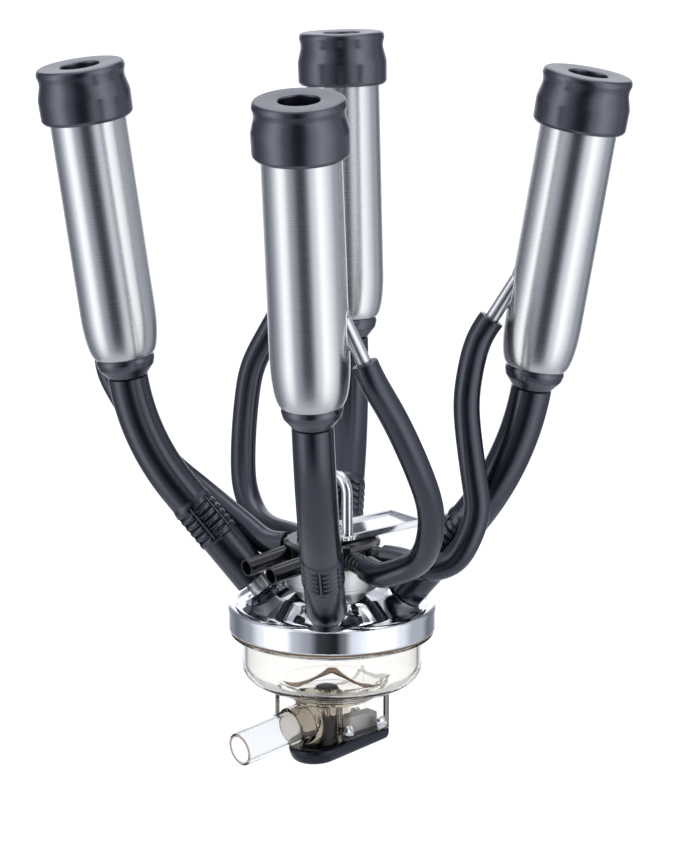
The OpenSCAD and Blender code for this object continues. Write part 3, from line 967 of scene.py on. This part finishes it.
BOWL_OUT = rounded([(0, -60, 0), (25, -60, 6), (33, -53, 4), (42, -51.2, 8), (BOWL_R, -45, 14),
                    (BOWL_R, -6.7, 0.4), (0, -6.7, 0)], 8)
BOWL_IN = rounded([(0, FLOOR_Z, 0), (24, FLOOR_Z, 5), (32, -50.2, 4), (41, -48.4, 7),
                   (BOWL_R - 3, -43, 11), (BOWL_R - 3, 5, 0), (0, 5, 0)], 8)


def bowl_field(p):
    r = np.hypot(p[:, 0], p[:, 1])
    outer = outline_distance(BOWL_OUT, r, p[:, 2])
    chamber = shift(CHAMBER_X, 0, 0)
    parts = [rod_distance(p, chamber, CHAMBER_R, CHAMBER_Z, -56, 1.0)]
    parts += [block_distance(p, (-4, s * FIN_Y - (2 if s > 0 else 0), CHAMBER_Z + 2),
                             (FIN_X, s * FIN_Y + (0 if s > 0 else 2), -52)) for s in (-1, 1)]
    parts.append(block_distance(p, (FIN_X - 2, -FIN_Y, CHAMBER_Z + 2), (FIN_X, FIN_Y, -52)))
    above_boot = CHAMBER_Z + 0.1 - in_frame(p, LEAN)[:, 2]
    for part in parts[:1] + [np.maximum(fin, above_boot) for fin in parts[1:]]:
        outer = soft_min(outer, part, 1.6)
    socket = rod_distance(p, outlet_frame(), CHAMBER_R, -10, 12, 1.0)
    outer = soft_min(outer, socket, 3)
    flange = rod_distance(p, Matrix.Identity(4), RIM_R - 1.5, -19.2, -17.2, 0.7)
    outer = soft_min(outer, flange, 1.2)
    inner = outline_distance(BOWL_IN, r, p[:, 2])
    holes = [rod_distance(p, chamber, CHAMBER_R - 2, CHAMBER_Z - 4, -63, 0.8),
             rod_distance(p, shift(VALVE_X, 0, 0), 4.5, -70, -50, 0.2),
             rod_distance(p, outlet_frame(), OUTLET_R + 0.05, 0, 40, 0.3),
             rod_distance(p, outlet_frame(), OUTLET_BORE, -12, 30, 0.3)]
    holes += [rod_distance(p, shift(x, 0, SCREW_Z) @ turn("X", 90), 2.05, -20, 20, 0.2) for x in SCREW_X]
    for hole in holes:
        inner = np.minimum(inner, hole)
    return soft_max(outer, -inner, 0.5)


def divider():
    """A rib across the floor, two concave slopes that meet in a peak over the valve."""
    arm = [(29 - 38 * math.cos(t), -15 - 38 * math.sin(t)) for t in np.linspace(math.radians(45.5), 1.5, 14)]
    right = arm + [(30.4, -52.3), (25.2, FLOOR_Z), (21, FLOOR_Z), (17, -54), (10, -49.8)]
    outline = right + [(0, -45.4)] + [(-x, z) for x, z in right[::-1]]
    thing = extrude("flow_divider", outline, -1.5, 1.5, turn("Z", 135) @ turn("X", 90), 0.5)
    wear(thing, RIB, "claw", "amber_clear", "flow_divider")


def slotted_screw(name, x, slot):
    head = rounded([(0, 2.2, 0), (1.5, 2.05, 2), (3, 1.45, 2), (4.1, 0.5, 0.5), (4.25, 0, 0), (0, 0, 0)], 5)
    at = shift(x, -FIN_Y, SCREW_Z) @ turn("X", 90)

    def field(p):
        q = in_frame(p, at)
        r = np.hypot(q[:, 0], q[:, 1])
        dome = outline_distance(head, r, q[:, 2])
        shank = np.maximum(r - 1.95, np.maximum(-28.5 - q[:, 2], q[:, 2] - 0.5))
        turned = in_frame(p, at @ turn("Z", slot))
        slot_cut = np.maximum(np.abs(turned[:, 0]) - 0.7, 0.7 - turned[:, 2])
        return soft_max(np.minimum(dome, shank), -slot_cut, 0.15)

    return skin(name, field, (x - 5, -FIN_Y - 3, SCREW_Z - 5), (x + 5, FIN_Y + 4.5, SCREW_Z + 5), 0.3)


BOOT_PLAN = [(-12 + 17 * math.cos(t), 17 * math.sin(t)) for t in np.linspace(1.66, 2 * math.pi - 1.66, 24)]
BOOT_PLAN = rounded([(x, y, 0) for x, y in BOOT_PLAN] + [(36, -13, 4), (36, 13, 4)], 5)


def boot_field(p):
    q = in_frame(p, LEAN)
    depth = np.clip((CHAMBER_Z - q[:, 2]) / (CHAMBER_Z - SOLE_Z), 0, 1)
    plan = outline_distance(BOOT_PLAN, q[:, 0], q[:, 1]) + 3.2 * depth ** 2.4
    sole = -in_frame(q, shift(-29, 0, SOLE_Z) @ turn("Y", -SOLE_LEAN))[:, 2]
    body = soft_max(plan, np.maximum(q[:, 2] - CHAMBER_Z, sole), 2.4)
    body = np.maximum(body, -rod_distance(p, shift(CHAMBER_X, 0, 0), CHAMBER_R + 0.1, CHAMBER_Z, -70, 0.1))
    plug = rod_distance(p, shift(CHAMBER_X, 0, 0), CHAMBER_R - 2.05, CHAMBER_Z - 2, -85, 0.6)
    return np.minimum(body, plug)


def boot_top(x):
    return CHAMBER_Z + 0.2 + (x + 29) * math.tan(math.radians(3.5))


def bowl():
    thing = skin("bowl", bowl_field, (-64, -64, -90), (64, 64, -5), 1.0)
    wear(thing, AMBER, "claw", "amber_clear", "bowl", "outlet_chamber")
    gasket = [(x, z - 17.2) for x, z in pipe_outline(RIM_R - 1, BOWL_R + 0.3, 0.02, 1.2, 0.4)]
    wear(lathe("bowl_gasket", gasket), GASKET, "claw", "gasket_rubber", "bowl_gasket")
    divider()
    seat = [(r, z + FLOOR_Z) for r, z in pipe_outline(7.5, 4.5, 0, 1.7)]
    wear(lathe("valve_seat", seat, shift(VALVE_X, 0, 0)), GASKET, "claw", "gasket_rubber", "valve_seat")
    disc = rounded([(0, FLOOR_Z + 2, 0), (6.5, FLOOR_Z + 2, 0.6), (6.5, FLOOR_Z + 4, 0.8),
                    (0, FLOOR_Z + 4, 0)], 4)
    wear(lathe("valve_disc", disc, shift(VALVE_X, 0, 0)), VALVE, "valve_plunger", "valve_rubber",
         "valve_disc")
    stem = [(0, -76), (1.8, -76), (1.8, FLOOR_Z + 3), (0, FLOOR_Z + 3)]
    wear(lathe("valve_stem", stem, shift(VALVE_X, 0, 0), 32), FASTENER, "valve_plunger", "fastener_steel",
         "valve_stem")
    foot = rounded([(0, -84.3, 0), (5, -84.3, 0.8), (5, -73.5, 1.2), (1.85, -73.5, 0.2), (1.85, -76, 0),
                    (0, -76, 0)], 4)
    wear(lathe("valve_foot", foot, shift(VALVE_X, 0, 0), 48), VALVE, "valve_plunger", "valve_rubber",
         "valve_foot")
    pipe = pipe_outline(OUTLET_R, OUTLET_BORE, 0, OUTLET_L, 0.6)
    wear(lathe("outlet_tube", pipe, outlet_frame()), CLEAR, "claw", "clear_plastic", "outlet_tube")
    tongue = rounded([(4, boot_top(4), 0.5), (FIN_X - 2.5, boot_top(FIN_X - 2.5), 0.5),
                      (FIN_X - 2.5, -75, 1.5), (4, -75, 1.5)], 5)
    wear(extrude("clamp_tongue", tongue, -4, 4, turn("X", 90)), TONGUE, "claw", "grey_rubber",
         "clamp_tongue")
    for k, (x, slot) in enumerate(zip(SCREW_X, SCREW_SLOT)):
        screw = slotted_screw(f"clamp_screw_{k}", x, slot)
        wear(screw, FASTENER, "claw", "fastener_steel", *(["clamp_screws"] if k == 0 else []))
        hexagon = [(4 * math.cos(a), 4 * math.sin(a)) for a in np.arange(6) * math.pi / 3]
        nut = extrude(f"clamp_nut_{k}", hexagon, 0, 2.6, shift(x, FIN_Y, SCREW_Z) @ turn("X", -90), 0.4)
        wear(nut, FASTENER, "claw", "fastener_steel", *(["clamp_nuts"] if k == 0 else []))
    strip = rounded([(11.5, -69.5, 0.5), (14.5, -69.5, 0.3), (14.5, -68.7, 0.3), (12.3, -68.7, 0.4),
                     (12.3, -54.1, 0.2), (11.5, -54.1, 0.2)], 3)
    clip = extrude("rear_clip", strip, -34, -31, turn("Z", 90) @ turn("X", 90), 0.2)
    wear(clip, FASTENER, "claw", "fastener_steel", "rear_clip")
    thing = skin("boot", boot_field, (-32, -20, -101), (38, 20, -83), 0.8)
    wear(thing, BOOT, "claw", "boot_rubber", "boot")


bowl()


# Distributor and hanger --------------------------------------------------------------------------

DISC = rounded([(0, DIST_Z, 0), (DIST_R - 3, DIST_Z, 0.8), (DIST_R - 3, PLATE_Z - 3.3, 0.5),
                (DIST_R, PLATE_Z - 3.3, 0.5), (DIST_R, PLATE_Z - 1.4, 0.4), (DIST_R - 3, PLATE_Z - 0.05, 0.6),
                (0, PLATE_Z - 0.05, 0)], 5)
TAB_SIDE = -114


def distributor_field(p):
    r = np.hypot(p[:, 0], p[:, 1])
    disc = outline_distance(DISC, r, p[:, 2])
    tab = in_frame(p, turn("Z", TAB_SIDE))
    tab = block_distance(tab, (DIST_R - 4, -3.5, PLATE_Z - 3), (DIST_R + 0.4, 3.5, PLATE_Z + 1.6))
    disc = np.minimum(disc, tab)
    for name in CUPS:
        at, end = port_frame(CUPS[name][7]), CUPS[name][8]
        nipple = rod_distance(p, at, 4.2, 10, end + 10, 0.4)
        collar = rod_distance(p, at, 6.2, 10, end - 0.5, 0.7)
        q = in_frame(p, at)
        ring = np.hypot(np.hypot(q[:, 0], q[:, 1]) - 6.4, (q[:, 2] - end + 0.5) % 4.5 - 2.25) - 0.75
        collar = np.where(q[:, 2] > DIST_R - 1, soft_max(collar, -ring, 0.3), collar)
        disc = soft_min(disc, np.minimum(nipple, collar), 0.8)
    for side in (-1, 1):
        at = long_nipple_frame(side)
        disc = soft_min(disc, rod_distance(p, at, 5.3, 5, 56, 0.5), 0.8)
    disc = np.maximum(disc, -np.maximum(r - DIST_R, p[:, 2] - DIST_Z))
    for name in CUPS:
        disc = np.maximum(disc, -rod_distance(p, port_frame(CUPS[name][7]), 2.8, DIST_R - 6, 60, 0.1))
    for side in (-1, 1):
        disc = soft_max(disc, -rod_distance(p, long_nipple_frame(side), 4.1, 24, 80, 0.1), 0.3)
    return disc


def long_nipple_frame(side):
    return shift(0, side * 11.5, PORT_Z + 2.5) @ turn("Y", -96.5)


def hanger():
    thing = skin("distributor", distributor_field, (-60, -58, 20), (32, 42, 42), 0.7)
    wear(thing, PLASTIC, "claw", "black_plastic", "distributor")
    gasket = pipe_outline(DIST_R - 1.6, 4, DIST_Z - 1, DIST_Z, 0.3)
    wear(lathe("distributor_gasket", gasket), GASKET, "claw", "gasket_rubber", "distributor_gasket")
    plate()
    loop()
    nut = [(7 * math.cos(a), 7 * math.sin(a)) for a in np.arange(6) * math.pi / 3]
    thing = extrude("centre_screw", nut, PLATE_Z + 2.5, PLATE_Z + 7, bevel=0.6)
    wear(thing, FASTENER, "claw", "fastener_steel", "centre_screw")


def plate():
    """A stamped strip with its long edges and its far end turned up."""
    across = [(-15, 4.7, 0.8), (-15, 0, 1.2), (15, 0, 1.2), (15, 4.7, 0.8), (13.4, 4.7, 0.8),
              (13.4, 2.5, 0.5), (-13.4, 2.5, 0.5), (-13.4, 4.7, 0.8)]
    lengthwise = shift(0, 0, PLATE_Z) @ turn("Z", 90) @ turn("X", 90)
    thing = extrude("hanger_plate", rounded(across, 5), -15, PLATE_END, lengthwise, 0.5)
    wear(thing, STAMPED, "claw", "stamped_steel", "hanger_plate")
    low, high = PLATE_Z + 0.5, PLATE_Z + 4.7
    inner = PLATE_END - 1.5
    lip = rounded([(inner, low, 0), (PLATE_END, low, 0), (PLATE_END, high, 0.7), (inner, high, 0.7)], 4)
    thing = extrude("hanger_end_lip", lip, -14.6, 14.6, turn("X", 90), 0.3)
    wear(thing, STAMPED, "claw", "stamped_steel")


def loop():
    top = HANG + 3.15
    half, bend = 14.5, 10
    low = PLATE_Z + 2.5
    side = [Vector((0, half, z)) for z in np.linspace(low, top - bend, 14)]
    arc = [Vector((0, half - bend + bend * math.cos(t), top - bend + bend * math.sin(t)))
           for t in np.linspace(0, math.pi / 2, 12)[1:]]
    half_line = side + arc
    line = half_line + [Vector((0, -p.y, p.z)) for p in half_line[::-1]]
    thing = tube("hanger_loop", line, 3.15, 0.05, 32, None, 0.4)
    wear(thing, ROD, "claw", "rod_steel", "hanger_loop")
    for s in (-1, 1):
        def field(p, s=s):
            q = p - np.array((0, s * half, low + 0.3))
            blob = np.sqrt(q[:, 0] ** 2 / 1.5 + q[:, 1] ** 2 / 1.1 + q[:, 2] ** 2 * 2.4) - 4.5
            lumps = 0.22 * np.sin(q[:, 0] * 2.1) * np.sin(q[:, 1] * 2.6 + 1) + 0.1 * np.sin(q[:, 2] * 4)
            return np.maximum(blob * 0.7 + lumps, low - p[:, 2] - 0.05)
        bead = skin(f"weld_bead_{'a' if s > 0 else 'b'}", field, (-7, s * half - 7, low - 1.5),
                    (7, s * half + 7, low + 5), 0.4)
        wear(bead, ROD, "claw", "rod_steel")


hanger()
